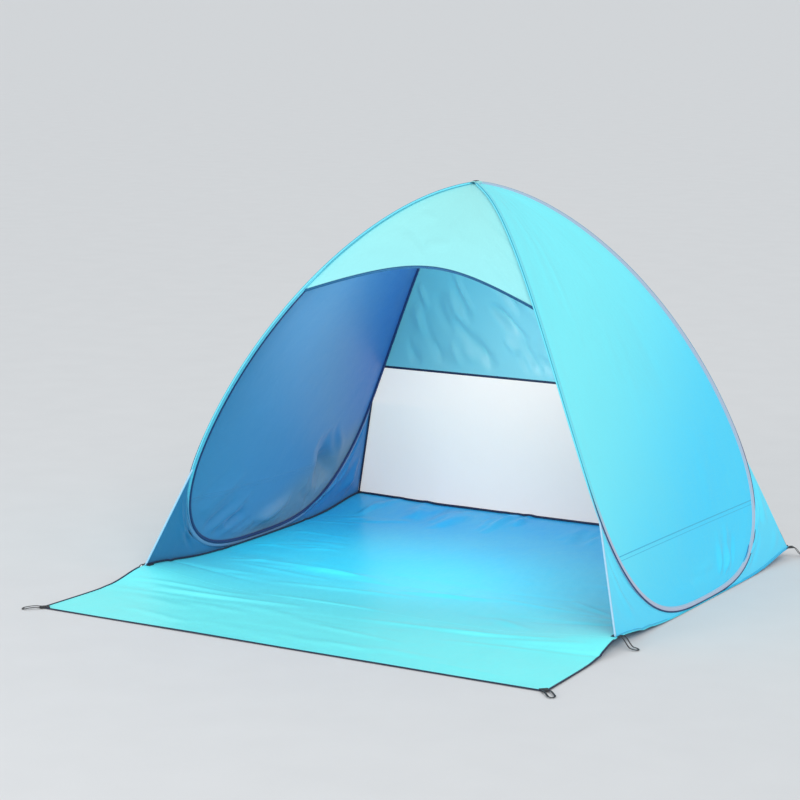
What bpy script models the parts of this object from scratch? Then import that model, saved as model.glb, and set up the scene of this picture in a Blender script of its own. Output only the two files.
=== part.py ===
"""Pop-up beach tent, modelled as separate closed solids for Blender 4.5.

Metres, +Z up. The origin is the middle of the ground outline, the doorway faces -Y.
Two closed spring-wire hoops lean together at the top; the cover is cut in panels
that end at the hoops' sleeves. Each group of parts that moves hangs under an empty
placed on its joint axis.
"""
import math

import bpy
import numpy as np
from mathutils import Matrix, Vector

# Overall sizes
FLOOR_HALF = 0.7522        # half the width of the floor sheet
BODY_DEPTH = 1.165         # floor depth under the cover
PORCH_DEPTH = 0.43         # apron in front of the doorway
PORCH_HALF = 0.773         # half the apron's width at its front edge
Y_FRONT = (PORCH_DEPTH - BODY_DEPTH) / 2
Y_REAR = Y_FRONT + BODY_DEPTH
Y_PORCH = Y_FRONT - PORCH_DEPTH
SHEET = 0.0016             # thickness given to every cloth part
GAP = 0.0006

# Hoop outline
HOOP_TOP = 1.118           # height where the outline starts, before its top is rounded
HOOP_LOW = 0.0105
HOOP_WIDEST = 0.33         # height at which a hoop is widest front to back
HOOP_HALF_DEPTH = 0.469
HOOP_HALF_SPREAD = 0.757
HOOP_APART = 0.012         # each hoop's distance from the middle at the top
STATIONS = 88
WIRE_R = 0.0025
SLEEVE_OUT = 0.0070
SLEEVE_IN = 0.0042
CLEAR = SLEEVE_OUT + SHEET / 2 + 0.0012

# Heights of seams and edges
Z_TOP_ROW = 1.103
Z_ARCH_MIDDLE = 0.907
Z_ARCH_END = 0.822
Z_WINDOW_TOP = 0.480
Z_REAR_GUSSET = 0.36
Z_FRONT_GUSSET = 0.325
Z_SIDE_SEAM = 0.205
Z_LOW = 0.0042

# Joint axes
FOLD_AXIS_Z = 1.115
PORCH_AXIS_Z = SHEET / 2

# Webbing loops
LOOP_LONG = 0.050
LOOP_WIDE = 0.024
LOOP_BAR = 0.006
LOOP_THICK = 0.0024

COLOURS = {
    "cyan_cloth": ((0.18, 0.82, 0.95), 0.45, 0.0),
    "aqua_cloth": ((0.45, 0.90, 0.93), 0.50, 0.0),
    "floor_cloth": ((0.20, 0.68, 0.92), 0.40, 0.0),
    "white_screen": ((0.80, 0.82, 0.84), 0.75, 0.0),
    "navy_binding": ((0.02, 0.03, 0.09), 0.65, 0.0),
    "pale_binding": ((0.62, 0.72, 0.86), 0.60, 0.0),
    "spring_steel": ((0.55, 0.56, 0.58), 0.30, 1.0),
    "black_webbing": ((0.015, 0.015, 0.018), 0.55, 0.0),
}


def clear_scene():
    for obj in list(bpy.data.objects):
        bpy.data.objects.remove(obj, do_unlink=True)


def make_materials():
    made = {}
    for name, (colour, rough, metal) in COLOURS.items():
        mat = bpy.data.materials.new(name)
        mat.use_nodes = True
        shader = mat.node_tree.nodes["Principled BSDF"]
        shader.inputs["Base Color"].default_value = (*colour, 1.0)
        shader.inputs["Roughness"].default_value = rough
        shader.inputs["Metallic"].default_value = metal
        mat.diffuse_color = (*colour, 1.0)
        made[name] = mat
    return made


def signed_volume(verts, faces):
    total = 0.0
    for face in faces:
        a = verts[face[0]]
        for k in range(1, len(face) - 1):
            total += np.dot(a, np.cross(verts[face[k]], verts[face[k + 1]]))
    return total / 6.0


def add_solid(name, verts, faces, material, parent):
    """One closed mesh facing out, with its origin at its parent empty."""
    verts = np.asarray(verts, float)
    if signed_volume(verts, faces) < 0:
        faces = [tuple(reversed(f)) for f in faces]
    origin = np.array(parent.location) if parent else np.zeros(3)
    mesh = bpy.data.meshes.new(name)
    mesh.from_pydata([tuple(v) for v in verts - origin], [], faces)
    mesh.validate()
    mesh.update()
    obj = bpy.data.objects.new(name, mesh)
    bpy.context.scene.collection.objects.link(obj)
    if parent:
        obj.parent = parent
        obj.matrix_parent_inverse = Matrix.Identity(4)
    mesh.materials.append(material)
    return obj


def sheet_solid(name, grid, material, parent, thick=SHEET):
    """A closed plate of even thickness around a grid of middle points."""
    grid = np.asarray(grid, float)
    du = np.gradient(grid, axis=0)
    dv = np.gradient(grid, axis=1)
    normal = np.cross(du, dv)
    normal /= np.linalg.norm(normal, axis=2)[..., None]
    rows, cols = grid.shape[:2]
    upper = (grid + normal * thick / 2).reshape(-1, 3)
    lower = (grid - normal * thick / 2).reshape(-1, 3)
    verts = np.vstack([upper, lower])
    half = rows * cols
    faces = []
    for i in range(rows - 1):
        for j in range(cols - 1):
            a, b = i * cols + j, i * cols + j + 1
            c, d = a + cols + 1, a + cols
            faces.append((a, b, c))
            faces.append((a, c, d))
            faces.append((a + half, c + half, b + half))
            faces.append((a + half, d + half, c + half))
    rim = [j for j in range(cols)]
    rim += [i * cols + cols - 1 for i in range(1, rows)]
    rim += [(rows - 1) * cols + j for j in range(cols - 2, -1, -1)]
    rim += [i * cols for i in range(rows - 2, 0, -1)]
    for k, a in enumerate(rim):
        b = rim[(k + 1) % len(rim)]
        faces.append((b, a, a + half))
        faces.append((b, a + half, b + half))
    return add_solid(name, verts, faces, material, parent)


def sweep(name, path, frames, profile, closed, material, parent):
    """A closed profile, given as (across, up) pairs, carried along a path."""
    path = np.asarray(path, float)
    count, around = len(path), len(profile)
    verts = []
    for p, (across, up) in zip(path, frames):
        for a, u in profile:
            verts.append(p + across * a + up * u)
    faces = []
    last = count if closed else count - 1
    for i in range(last):
        n = (i + 1) % count
        for j in range(around):
            m = (j + 1) % around
            a, b = i * around + j, i * around + m
            c, d = n * around + m, n * around + j
            faces.append((a, b, c))
            faces.append((a, c, d))
    if not closed:
        faces.append(tuple(range(around - 1, -1, -1)))
        faces.append(tuple((count - 1) * around + j for j in range(around)))
    return add_solid(name, verts, faces, material, parent)


def circle_profile(radius, count):
    angles = [2 * math.pi * k / count for k in range(count)]
    return [(radius * math.cos(a), radius * math.sin(a)) for a in angles]


def c_profile(outer, inner, slit_half, count):
    """A tube wall with a narrow slit on its +across side."""
    angles = np.linspace(slit_half, 2 * math.pi - slit_half, count)
    ring = [(outer * math.cos(a), outer * math.sin(a)) for a in angles]
    ring += [(inner * math.cos(a), inner * math.sin(a)) for a in angles[::-1]]
    return ring


def frames_along(path, towards, closed):
    """At each point, the direction across the path towards a point, and the third one."""
    path = np.asarray(path, float)
    if closed:
        tangent = np.roll(path, -1, axis=0) - np.roll(path, 1, axis=0)
    else:
        tangent = np.gradient(path, axis=0)
    tangent /= np.linalg.norm(tangent, axis=1)[:, None]
    out = []
    for p, t in zip(path, tangent):
        side = np.asarray(towards, float) - p
        side -= np.dot(side, t) * t
        side /= np.linalg.norm(side)
        out.append((side, np.cross(t, side)))
    return out


def tube(name, path, radius, material, parent, towards=(0.0, 0.0, 5.0), count=8):
    frames = frames_along(path, towards, False)
    return sweep(name, path, frames, circle_profile(radius, count), False, material, parent)


def even_spacing(points, count, weight=None):
    closed = np.vstack([points, points[:1]])
    step = np.linalg.norm(np.diff(closed, axis=0), axis=1)
    if weight is not None:
        step = step * weight
    along = np.concatenate([[0.0], np.cumsum(step)])
    wanted = np.linspace(0.0, along[-1], count + 1)[:-1]
    return np.column_stack([np.interp(wanted, along, closed[:, k]) for k in range(3)])


def hoop_curve():
    """The right hoop's middle line: down the front, along the ground, up the rear."""
    raw = []
    for k in range(720):
        angle = 2 * math.pi * k / 720
        c, s = math.cos(angle), math.sin(angle)
        if c >= 0:
            z = HOOP_WIDEST + (HOOP_TOP - HOOP_WIDEST) * c ** (2 / 1.8)
            reach = abs(s) ** 1.3
        else:
            z = HOOP_WIDEST + (HOOP_WIDEST - HOOP_LOW) * c
            reach = abs(s) ** 0.61
        height = z / HOOP_TOP
        middle = Y_FRONT + 0.573 + 0.024 * height
        y = middle - math.copysign(HOOP_HALF_DEPTH * reach, s)
        x = HOOP_HALF_SPREAD * max(0.0, 1 - height ** 1.2) ** 0.58
        raw.append((x, y, z))
    fine = even_spacing(np.array(raw), 480)
    step = np.linalg.norm(fine[1] - fine[0])
    offsets = np.arange(-24, 25)
    bell = np.exp(-0.5 * (offsets * step / 0.035) ** 2)
    bell /= bell.sum()
    fine = sum(w * np.roll(fine, -o, axis=0) for w, o in zip(bell, offsets))
    fine[:, 0] += HOOP_APART - fine[:, 0].min()
    second = np.roll(fine, -1, axis=0) - 2 * fine + np.roll(fine, 1, axis=0)
    bend = np.linalg.norm(second, axis=1) / step ** 2
    return even_spacing(fine, STATIONS, 1 + bend / 5)


HOOP = hoop_curve()
LOWEST = int(HOOP[:, 2].argmin())
HIGHEST = int(HOOP[:, 2].argmax())
FRONT_BRANCH = HOOP[HIGHEST:LOWEST + 1][::-1]
REAR_BRANCH = np.vstack([HOOP[LOWEST:], HOOP[:HIGHEST + 1]])


def mirrored(points, side):
    return np.asarray(points, float) * np.array([side, 1.0, 1.0])


def branch_point(branch, z, side=1):
    x = np.interp(z, branch[:, 2], branch[:, 0])
    y = np.interp(z, branch[:, 2], branch[:, 1])
    return np.array([side * x, y, z])


def distance_to_hoops(points):
    """Distance of each point from the nearer hoop's middle line."""
    folded = np.abs(points * np.array([1.0, 0, 0])) + points * np.array([0, 1.0, 1.0])
    a = HOOP
    d = np.roll(HOOP, -1, axis=0) - a
    t = ((folded[:, None] - a) * d).sum(2) / (d * d).sum(1)
    t = np.clip(t, 0, 1)
    near = a + t[..., None] * d
    return np.linalg.norm(folded[:, None] - near, axis=2).min(1)


def clear_span(start, end, seed=0.5, clear=CLEAR):
    """The longest stretch from start to end around the seed that is clear of the sleeves."""
    share = np.linspace(0, 1, 801)
    points = start + (end - start) * share[:, None]
    free = distance_to_hoops(points) >= clear
    k = int(round(seed * 800))
    low = high = k
    while low > 0 and free[low - 1]:
        low -= 1
    while high < 800 and free[high + 1]:
        high += 1
    return points[low], points[high]


def rows_to_grid(rows, columns):
    shares = np.linspace(0, 1, columns)
    return [[a + (b - a) * s for s in shares] for a, b in rows]


def side_panel(name, heights, side, material, parent):
    rows = []
    for z in heights:
        front = branch_point(FRONT_BRANCH, z)
        rear = branch_point(REAR_BRANCH, z)
        a, b = clear_span(front, rear)
        rows.append((mirrored(a, side), mirrored(b, side)))
    return sheet_solid(name, rows_to_grid(rows, 8), material, parent)


def half_width(branch, z, clear=CLEAR):
    right = branch_point(branch, z)
    left = mirrored(right, -1)
    return clear_span(left, right, 0.5, clear)[1][0]


def edge_line(branch, z_top, corner, z):
    """The straight free edge from a hoop down to a floor corner."""
    top = branch_point(branch, z_top)
    share = (z_top - z) / (z_top - corner[2])
    return top + (np.array(corner) - top) * share


def front_corner():
    return (0.745, Y_FRONT + 0.005, Z_LOW)


def rear_corner():
    return (0.745, Y_REAR - 0.002, Z_LOW)


def brow(material, parent):
    columns, rows = 13, 10
    ends = half_width(FRONT_BRANCH, Z_ARCH_END)
    grid = []
    for i in range(rows):
        line = []
        for j in range(columns):
            v = -1 + 2 * j / (columns - 1)
            low = Z_ARCH_END + (Z_ARCH_MIDDLE - Z_ARCH_END) * (1 - v * v)
            z = Z_TOP_ROW + (low - Z_TOP_ROW) * (i / (rows - 1)) ** 1.6
            x = v * half_width(FRONT_BRANCH, z)
            line.append((x, branch_point(FRONT_BRANCH, z)[1], z))
        grid.append(line)
    sheet_solid("front_brow_panel", grid, material["aqua_cloth"], parent)
    path = []
    for j in range(25):
        v = -1 + 2 * j / 24
        z = Z_ARCH_END + (Z_ARCH_MIDDLE - Z_ARCH_END) * (1 - v * v) - 0.0056
        reach = min(ends, half_width(FRONT_BRANCH, z, CLEAR + 0.004))
        path.append((v * reach, branch_point(FRONT_BRANCH, z)[1], z))
    tube("door_arch_binding", path, 0.0030, material["navy_binding"], parent)


def rear_wall(material, parent):
    grid = []
    for share in np.linspace(0, 1, 11) ** 1.6:
        z = Z_TOP_ROW + (Z_WINDOW_TOP + 0.0060 - Z_TOP_ROW) * share
        x, y = half_width(REAR_BRANCH, z), branch_point(REAR_BRANCH, z)[1]
        grid.append([(v * x, y, z) for v in np.linspace(-1, 1, 7)])
    sheet_solid("rear_upper_panel", grid, material["aqua_cloth"], parent)
    grid = []
    for z in np.linspace(Z_WINDOW_TOP - 0.0060, Z_LOW, 9):
        place = branch_point(REAR_BRANCH, z)
        reach = half_width(REAR_BRANCH, z)
        if z < Z_REAR_GUSSET:
            place = edge_line(REAR_BRANCH, Z_REAR_GUSSET, rear_corner(), z)
            right = np.array([place[0] - SHEET / 2 - GAP, place[1], z])
            reach = clear_span(mirrored(right, -1), right)[1][0]
        grid.append([(v * reach, place[1], z) for v in np.linspace(-1, 1, 7)])
    sheet_solid("rear_window_panel", grid, material["white_screen"], parent)
    y = branch_point(REAR_BRANCH, Z_WINDOW_TOP)[1]
    reach = half_width(REAR_BRANCH, Z_WINDOW_TOP, CLEAR + 0.004)
    path = [(v * reach, y, Z_WINDOW_TOP) for v in np.linspace(-1, 1, 5)]
    tube("window_top_binding", path, 0.0034, material["navy_binding"], parent)


def gusset(name, branch, z_top, corner, heights, side, material, parent):
    """The corner piece between a hoop's lower curve and a free edge to the floor corner."""
    rows = []
    for z in heights:
        free = edge_line(branch, z_top, corner, z)
        inward = 1.0 if branch is FRONT_BRANCH else -1.0
        free[1] += inward * (SHEET / 2 + GAP)
        hoop_side = branch_point(branch, max(z, HOOP_LOW + 0.001))
        hoop_side[2] = z
        a, b = clear_span(free, hoop_side, 0.0, CLEAR + 0.0022)
        rows.append((mirrored(a, side), mirrored(b, side)))
    sheet_solid(name, rows_to_grid(rows, 4), material, parent)


def peg_loop(name, place, direction, material, parent):
    """A flat webbing loop with a long hole, its inner end at its stitch line."""
    along = np.array([direction[0], direction[1], 0.0])
    along /= np.linalg.norm(along)
    across = np.array([-along[1], along[0], 0.0])
    outer, inner = [], []
    corner = 5
    outer_r, inner_r = LOOP_WIDE / 2 - 0.001, LOOP_WIDE / 2 - LOOP_BAR - 0.001
    for sx, sy, start in ((1, 1, 0), (-1, 1, 90), (-1, -1, 180), (1, -1, 270)):
        for k in range(corner):
            a = math.radians(start + 90 * k / (corner - 1))
            r = outer_r if sx > 0 else 0.002
            mid_x = LOOP_LONG / 2 + sx * (LOOP_LONG / 2 - r)
            mid_y = sy * (LOOP_WIDE / 2 - r)
            outer.append((mid_x + r * math.cos(a), mid_y + r * math.sin(a)))
            r = inner_r if sx > 0 else 0.001
            half_long, half_wide = LOOP_LONG / 2 - LOOP_BAR, LOOP_WIDE / 2 - LOOP_BAR
            mid_x = LOOP_LONG / 2 + sx * (half_long - r)
            mid_y = sy * (half_wide - r)
            inner.append((mid_x + r * math.cos(a), mid_y + r * math.sin(a)))
    verts = []
    for z in (0.0, LOOP_THICK):
        for ring in (outer, inner):
            for u, v in ring:
                verts.append(np.array(place) + along * u + across * v + np.array([0, 0, z]))
    n = len(outer)
    faces = []
    for k in range(n):
        m = (k + 1) % n
        faces.append((k, k + n, m + n, m))
        faces.append((k + 2 * n, m + 2 * n, m + 3 * n, k + 3 * n))
        faces.append((k, m, m + 2 * n, k + 2 * n))
        faces.append((k + n, k + 3 * n, m + 3 * n, m + n))
    add_solid(name, verts, faces, material, parent)


def empty(name, place):
    obj = bpy.data.objects.new(name, None)
    obj.empty_display_size = 0.05
    obj.location = Vector(place)
    bpy.context.scene.collection.objects.link(obj)
    return obj


def side(label, sign, material):
    """One hoop with its sleeve and all the cloth that swings with it."""
    axis = empty(f"{label}_fold_axis", (0.0, 0.0, FOLD_AXIS_Z))
    path = mirrored(HOOP, sign)
    middle = (sign * 0.48, Y_FRONT + 0.58, 0.50)
    frames = frames_along(path, middle, True)
    sweep(f"{label}_hoop_wire", path, frames, circle_profile(WIRE_R, 7), True,
          material["spring_steel"], axis)
    sweep(f"{label}_hoop_sleeve", path, frames, c_profile(SLEEVE_OUT, SLEEVE_IN, 0.12, 9),
          True, material["pale_binding"], axis)
    rear = [k for k in range(LOWEST, STATIONS - 1) if path[k][2] > 0.55]
    first = rear[0]
    start, end = path[first], path[first + 1]
    way = (end - start) / np.linalg.norm(end - start)
    centre = (start + end) / 2
    ends = [centre - way * 0.015, centre + way * 0.015]
    across = np.cross(way, (0.0, 0.0, 1.0))
    across /= np.linalg.norm(across)
    up = np.cross(way, across)
    sweep(f"{label}_wire_ferrule", ends, [(across, up)] * 2,
          c_profile(0.0038, 0.0028, 0.10, 9), False, material["spring_steel"], axis)

    shares = np.linspace(0, 1, 16) ** 1.5
    heights = Z_TOP_ROW + (Z_SIDE_SEAM + 0.0004 - Z_TOP_ROW) * shares
    side_panel(f"{label}_side_panel", heights, sign, material["cyan_cloth"], axis)
    heights = np.linspace(Z_SIDE_SEAM - 0.0004, 0.026, 6)
    side_panel(f"{label}_side_lower_panel", heights, sign, material["cyan_cloth"], axis)

    heights = np.array([0.285, 0.25, 0.21, 0.17, 0.13, 0.09, 0.06, 0.035, 0.018, Z_LOW])
    gusset(f"{label}_front_gusset", FRONT_BRANCH, Z_FRONT_GUSSET, front_corner(),
           heights, sign, material["cyan_cloth"], axis)
    heights = np.concatenate([[0.315], heights])
    gusset(f"{label}_rear_gusset", REAR_BRANCH, Z_REAR_GUSSET, rear_corner(),
           heights, sign, material["cyan_cloth"], axis)
    edge = [(sign * (FLOOR_HALF + 0.0027), y, 0.0022)
            for y in np.linspace(Y_FRONT + 0.005, Y_REAR - 0.004, 7)]
    tube(f"{label}_floor_piping", edge, 0.0021, material["navy_binding"], axis)
    return axis


def main():
    clear_scene()
    material = make_materials()
    base = empty("canopy_frame", (0.0, 0.0, 0.0))

    floor = [[(x, y, SHEET / 2) for x in (-FLOOR_HALF, FLOOR_HALF)]
             for y in np.linspace(Y_FRONT, Y_REAR, 3)]
    sheet_solid("floor_sheet", floor, material["floor_cloth"], base)
    brow(material, base)
    rear_wall(material, base)
    edge = [(x, Y_REAR + 0.0030, 0.0024) for x in np.linspace(-0.745, 0.745, 5)]
    tube("rear_floor_piping", edge, 0.0022, material["navy_binding"], base)
    z = float(HOOP[:, 2].max()) + SLEEVE_OUT + 0.0012
    mid = float(HOOP[HIGHEST, 1])
    patch = [[(x, mid + y, z) for x in (-0.016, 0.016)] for y in (-0.018, 0.0, 0.018)]
    sheet_solid("apex_tack_patch", patch, material["aqua_cloth"], base)

    porch = empty("porch_axis", (0.0, Y_FRONT, PORCH_AXIS_Z))
    apron = []
    for y in np.linspace(Y_FRONT - 0.0012, Y_PORCH, 3):
        share = (Y_FRONT - y) / PORCH_DEPTH
        reach = FLOOR_HALF + (PORCH_HALF - FLOOR_HALF) * share
        apron.append([(-reach, y, SHEET / 2), (reach, y, SHEET / 2)])
    sheet_solid("porch_sheet", apron, material["aqua_cloth"], porch)
    off = 0.0026
    rim = [(-FLOOR_HALF - off, Y_FRONT - 0.006), (-PORCH_HALF - off, Y_PORCH - off),
           (PORCH_HALF + off, Y_PORCH - off), (FLOOR_HALF + off, Y_FRONT - 0.006)]
    path = [(x, y, 0.0020) for x, y in rim]
    tube("porch_edge_binding", path, 0.0019, material["navy_binding"], porch)

    for label, sign in (("left", -1), ("right", 1)):
        axis = side(label, sign, material)
        black = material["black_webbing"]
        peg_loop(f"{label}_porch_peg_loop", (sign * 0.7795, Y_PORCH - 0.0065, 0.0),
                 (sign, -1), black, porch)
        peg_loop(f"{label}_front_peg_loop", (sign * 0.7590, Y_FRONT + 0.0165, 0.0),
                 (sign, 0), black, axis)
        peg_loop(f"{label}_rear_peg_loop", (sign * 0.7605, Y_REAR + 0.0065, 0.0),
                 (sign, 1), black, axis)


main()
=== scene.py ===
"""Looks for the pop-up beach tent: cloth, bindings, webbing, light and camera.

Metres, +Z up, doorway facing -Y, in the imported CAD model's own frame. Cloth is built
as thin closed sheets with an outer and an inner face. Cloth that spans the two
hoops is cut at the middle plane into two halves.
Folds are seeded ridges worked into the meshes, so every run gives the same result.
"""

import math

import bpy
import numpy as np
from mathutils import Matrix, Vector


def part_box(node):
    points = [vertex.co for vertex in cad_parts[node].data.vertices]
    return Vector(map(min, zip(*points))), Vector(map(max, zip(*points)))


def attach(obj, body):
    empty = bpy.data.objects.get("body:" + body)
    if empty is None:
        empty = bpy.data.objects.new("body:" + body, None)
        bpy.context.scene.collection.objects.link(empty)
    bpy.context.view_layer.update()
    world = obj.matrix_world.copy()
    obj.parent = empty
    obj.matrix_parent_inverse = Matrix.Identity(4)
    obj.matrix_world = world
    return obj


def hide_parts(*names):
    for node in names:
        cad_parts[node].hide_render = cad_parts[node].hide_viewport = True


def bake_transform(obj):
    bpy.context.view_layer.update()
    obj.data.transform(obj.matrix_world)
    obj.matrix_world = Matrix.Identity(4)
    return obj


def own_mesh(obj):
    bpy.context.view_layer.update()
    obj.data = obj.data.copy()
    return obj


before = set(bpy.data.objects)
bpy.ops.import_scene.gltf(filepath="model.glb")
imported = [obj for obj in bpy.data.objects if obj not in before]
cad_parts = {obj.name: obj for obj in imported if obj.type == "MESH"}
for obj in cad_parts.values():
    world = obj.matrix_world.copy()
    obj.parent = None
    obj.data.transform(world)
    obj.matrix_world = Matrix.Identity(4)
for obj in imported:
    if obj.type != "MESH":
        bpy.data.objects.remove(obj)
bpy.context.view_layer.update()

# Ground outline, read from the frame
floor_low, floor_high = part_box("floor_sheet")
porch_low, porch_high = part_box("porch_sheet")
FLOOR_HALF = floor_high.x
Y_FRONT = floor_low.y
Y_REAR = floor_high.y
Y_PORCH = porch_low.y
PORCH_HALF = porch_high.x

# Hoop outline, the same curve as the CAD wires follow
HOOP_TOP = 1.118
HOOP_LOW = 0.0105
HOOP_WIDEST = 0.33
HOOP_HALF_DEPTH = 0.469
HOOP_HALF_SPREAD = 0.757
HOOP_APART = 0.012
HOOP_BEHIND_DOOR = 0.573
HOOP_LEAN = 0.024
HOOP_CROWN_POWER = 1.8
HOOP_UPPER_POWER = 1.3
HOOP_LOWER_POWER = 0.61
HOOP_SPLAY_POWERS = (1.2, 0.58)
HOOP_EASED_OVER = 0.035
BRANCH_POINTS = 600
BRANCH_LENGTH = 1.72

# Heights of seams and edges
Z_ARCH_MIDDLE = 0.907
Z_ARCH_END = 0.822
Z_WINDOW_TOP = 0.480
Z_SIDE_SEAM = 0.205

# Each gusset's upper end, and the floor corner that its free edge comes down to
GUSSET_TOP = {"front": 0.325, "rear": 0.36}
GUSSET_CORNER_Y = {"front": Y_FRONT + 0.004, "rear": Y_REAR - 0.002}
CORNER_X = 0.747

# Side panels: shares of the hoop where they start and end, and where folds begin
SIDE_TOP_SHARE = 0.004
SIDE_LOW_SHARE = 0.988
FOLDS_CLEAR_OF_HOOP = 0.013
FOLDS_GROW_OVER = 0.05

# Hoop sleeve: half width at the top, what is added low down, and half height
SLEEVE_HALF_WIDE = 0.0072
SLEEVE_WIDER_BY = 0.0030
SLEEVE_HALF_TALL = 0.0042
SLEEVE_OUTWARD = 0.0022

# How the ground cloth is pulled up at its corners and along its rear edge
FLOOR_LIFT = 0.028
LIFT_FROM_X = 0.40
LIFT_AHEAD_OF_DOOR = 0.10
LIFT_BEHIND_DOOR = 0.20
LIFT_AT_REAR = 0.16

# Cloth thickness, mesh spacing and the gap where cloth meets cloth
CLOTH = 0.0009
GRID = 0.009
GROUND_GRID_X = 0.0085
GROUND_GRID_Y = 0.0075
GAP = 0.001

# Webbing peg loops and the tabs that hold them
PEG_LOOP_LONG = 0.0500
PEG_LOOP_HALF_WIDE = 0.0090
STRAP_HALF_WIDE = 0.0028
TAB_LONG = 0.026
TAB_HALF_WIDE = 0.0115
PEG_LOOP_SLANT = {"porch": -1.0, "front": 0.0, "rear": 1.0}

CAMERA_TARGET = Vector((-0.4482, 0.5597, 0.4))
CAMERA_AZIMUTH = math.radians(30.868)
CAMERA_HEIGHT = math.radians(10.02)
CAMERA_AWAY = 7.7319
CAMERA_LENS = 112.5
CAMERA_SENSOR = 36.0

STAGE_RADIUS = 160.0
STAGE_CORNERS = 96
STAGE_LEVEL = -0.0005

SIGN = {"left": -1, "right": 1}


# ------ small helpers

def smooth(value):
    """An eased step from 0 to 1."""
    value = np.clip(value, 0, 1)
    return value * value * (3 - 2 * value)


def hump(distance, width):
    """A bell that is 1 at no distance and fades over the width."""
    return np.exp(-(distance / width) ** 2)


def unit(vectors):
    return vectors / np.maximum(np.linalg.norm(vectors, axis=-1, keepdims=True), 1e-12)


def mirrored(points, sign):
    """Points of the right half, put on the side that the sign says."""
    return np.asarray(points, float) * np.array([sign, 1.0, 1.0])


def lengths_along(points):
    step = np.linalg.norm(np.diff(points, axis=0), axis=1)
    return np.concatenate([[0.0], np.cumsum(step)])


def spaced(points, count):
    """An open line, given again as evenly spaced points."""
    points = np.asarray(points, float)
    along = lengths_along(points)
    wanted = np.linspace(0, along[-1], count)
    return np.column_stack([np.interp(wanted, along, points[:, k]) for k in range(3)])


def share_grid(rows, cols):
    """Shares from 0 to 1 down the rows, and across the columns, of a grid."""
    across, down = np.meshgrid(np.linspace(0.0, 1.0, cols), np.linspace(0.0, 1.0, rows))
    return down, across


# ------ hoop curve

def hoop_curve(count=480, steps=720):
    """The right hoop as evenly spaced points, from its top down the front and round."""
    height_power, spread_power = HOOP_SPLAY_POWERS
    raw = []
    for k in range(steps):
        angle = 2 * math.pi * k / steps
        c, s = math.cos(angle), math.sin(angle)
        if c >= 0:
            z = HOOP_WIDEST + (HOOP_TOP - HOOP_WIDEST) * c ** (2 / HOOP_CROWN_POWER)
            reach = abs(s) ** HOOP_UPPER_POWER
        else:
            z = HOOP_WIDEST + (HOOP_WIDEST - HOOP_LOW) * c
            reach = abs(s) ** HOOP_LOWER_POWER
        height = z / HOOP_TOP
        middle = Y_FRONT + HOOP_BEHIND_DOOR + HOOP_LEAN * height
        y = middle - math.copysign(HOOP_HALF_DEPTH * reach, s)
        x = HOOP_HALF_SPREAD * max(0.0, 1 - height ** height_power) ** spread_power
        raw.append((x, y, z))
    fine = spaced(raw + raw[:1], count + 1)[:-1]
    step = np.linalg.norm(fine[1] - fine[0])
    offsets = np.arange(-24, 25)
    bell = np.exp(-0.5 * (offsets * step / HOOP_EASED_OVER) ** 2)
    bell /= bell.sum()
    fine = sum(w * np.roll(fine, -o, axis=0) for w, o in zip(bell, offsets))
    fine[:, 0] += HOOP_APART - fine[:, 0].min()
    return np.roll(fine, -int(fine[:, 2].argmax()), axis=0)


HOOP = hoop_curve()
LOWEST = int(HOOP[:, 2].argmin())
BRANCH = {
    "front": spaced(HOOP[:LOWEST + 1], BRANCH_POINTS),
    "rear": spaced(np.vstack([HOOP[LOWEST:], HOOP[:1]])[::-1], BRANCH_POINTS),
}


def at_share(branch, share):
    """The right hoop's point at a share of the way from its top to its lowest point."""
    points = BRANCH[branch]
    place = np.clip(share, 0, 1) * (len(points) - 1)
    index = np.arange(len(points))
    return np.stack([np.interp(place, index, points[:, k]) for k in range(3)], axis=-1)


def at_height(branch, z):
    """The right hoop's point at a height, on its front or rear branch."""
    points = BRANCH[branch][::-1]
    x = np.interp(z, points[:, 2], points[:, 0])
    y = np.interp(z, points[:, 2], points[:, 1])
    return np.stack([x, y, np.broadcast_to(z, np.shape(x))], axis=-1)


def share_at(branch, z):
    """The share of the way down a branch at which it reaches a height."""
    points = BRANCH[branch][::-1]
    return 1 - np.interp(z, points[:, 2], np.linspace(0, 1, len(points)))


# ------ ground cloth shape

def crease(x, y, start, end, width, height):
    """A soft ridge from start to end that fades at both ends."""
    dx, dy = end[0] - start[0], end[1] - start[1]
    share = np.clip(((x - start[0]) * dx + (y - start[1]) * dy) / (dx * dx + dy * dy), 0, 1)
    away = np.hypot(x - start[0] - share * dx, y - start[1] - share * dy)
    return height * hump(away, width) * np.sin(math.pi * share) ** 0.7


def creases(x, y, rows):
    return sum(crease(x, y, start, end, width, height) for start, end, width, height in rows)


def scattered(seed, count, centre, spread, direction, turn, size, width, height):
    """Seeded creases about one direction, as (start, end, width, height) rows."""
    random = np.random.default_rng(seed)
    rows = []
    for _ in range(count):
        x = centre[0] + spread[0] * random.uniform(-1, 1)
        y = centre[1] + spread[1] * random.uniform(-1, 1)
        angle = math.radians(direction + turn * random.uniform(-1, 1))
        half = size * random.uniform(0.35, 1.0) / 2
        dx, dy = half * math.cos(angle), half * math.sin(angle)
        wide = width * random.uniform(0.6, 1.3)
        tall = height * random.uniform(0.3, 1.0) * random.choice([-1, 1, 1])
        rows.append(((x - dx, y - dy), (x + dx, y + dy), wide, tall))
    return rows


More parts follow.
